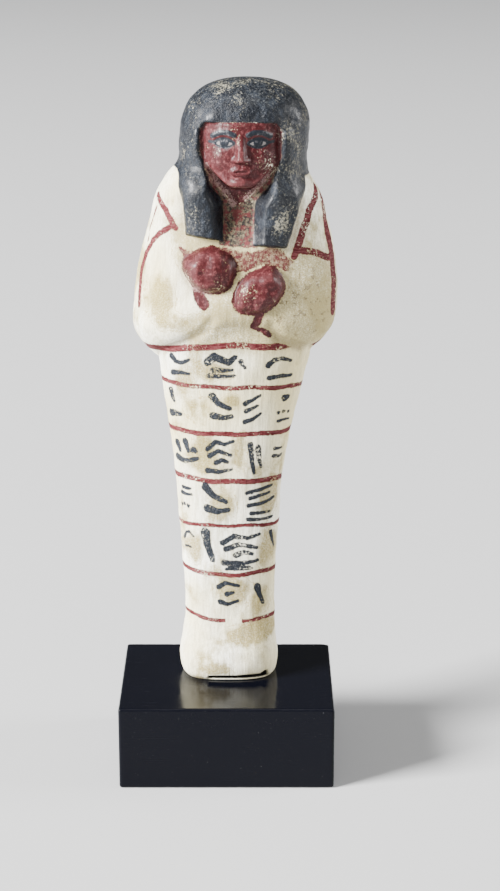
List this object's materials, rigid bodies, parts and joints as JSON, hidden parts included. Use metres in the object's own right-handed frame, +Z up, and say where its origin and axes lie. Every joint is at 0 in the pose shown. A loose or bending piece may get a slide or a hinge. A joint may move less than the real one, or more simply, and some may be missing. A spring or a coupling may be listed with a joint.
{
  "type": "ushabti figurine",
  "caption": "Small mummy-shaped painted stone tomb figurine with a long wig and crossed arms holding hoes, standing on a black lacquered block.",
  "frame": {"origin": "centre of the stand's underside", "axes": "+Z up, +X towards the viewer's right, and the figure faces -Y"},
  "size_m": [0.0642, 0.0508, 0.2052],
  "materials": {
    "painted_stone": "matte cream ground with worn red and black paint",
    "black_lacquer": "polished black lacquer"
  },
  "bodies": {
    "root": {"ushabti_figure": "painted_stone", "stand_block": "black_lacquer"}
  },
  "joints": []
}
